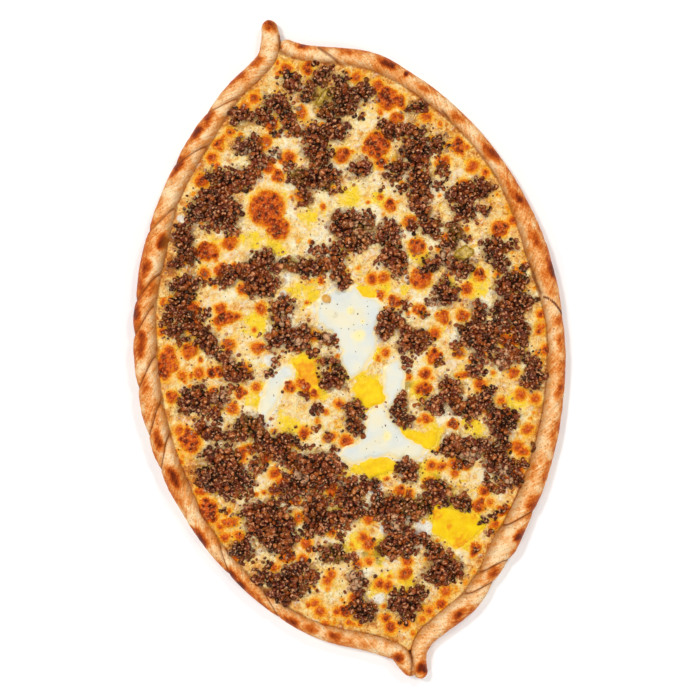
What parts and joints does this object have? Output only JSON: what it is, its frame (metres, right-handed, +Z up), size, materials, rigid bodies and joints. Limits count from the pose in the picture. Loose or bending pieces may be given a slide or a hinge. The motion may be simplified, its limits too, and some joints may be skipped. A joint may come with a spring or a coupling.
{
  "type": "turkish pide",
  "caption": "Boat-shaped flatbread with a twisted rope rim that ends in two nubs, filled with melted cheese, heaps of minced meat, pools of egg and strips of pepper",
  "frame": {"origin": "Middle of the bounding box in X and Y, at the bottom face, so the pide stands on z = 0.", "axes": "+Y runs along the long axis from the nub at one end to the nub at the other, +Z is up through the filling, +X is across."},
  "size_m": [0.2314, 0.3598, 0.0146],
  "materials": {
    "crust": "matte baked dough, flour-dusted, brown on the crowns of the rim",
    "cheese": "melted cheese with browned blisters, slightly oily",
    "mince": "fried minced meat, crumbly and a little oily",
    "yolk": "baked egg yolk, satin",
    "egg_white": "baked egg white, glossy",
    "pepper": "softened pepper skin, glossy"
  },
  "bodies": {
    "root": {"bread": "crust", "cheese": "cheese", "mince_01": "mince", "mince_02": "mince", "mince_03": "mince", "mince_04": "mince", "mince_05": "mince", "mince_06": "mince", "mince_07": "mince", "mince_08": "mince", "mince_09": "mince", "mince_10": "mince", "mince_11": "mince", "mince_12": "mince", "mince_13": "mince", "mince_14": "mince", "mince_15": "mince", "mince_16": "mince", "mince_17": "mince", "mince_18": "mince", "mince_19": "mince", "mince_20": "mince", "mince_21": "mince", "mince_22": "mince", "mince_23": "mince", "mince_24": "mince", "mince_25": "mince", "mince_26": "mince", "mince_27": "mince", "mince_28": "mince", "mince_29": "mince", "mince_30": "mince", "mince_31": "mince", "mince_32": "mince", "mince_33": "mince", "mince_34": "mince", "mince_35": "mince", "mince_36": "mince", "mince_37": "mince", "mince_38": "mince", "mince_39": "mince", "mince_40": "mince", "mince_41": "mince", "mince_42": "mince", "mince_43": "mince", "mince_44": "mince", "mince_45": "mince", "mince_46": "mince", "yolk_upper": "yolk", "yolk_drop": "yolk", "yolk_band": "yolk", "yolk_bar": "yolk", "yolk_left": "yolk", "yolk_lower": "yolk", "pepper_top": "pepper", "pepper_right": "pepper", "egg_white_upper": "egg_white", "egg_white_right": "egg_white", "egg_white_lower": "egg_white", "egg_white_left": "egg_white"}
  },
  "joints": []
}
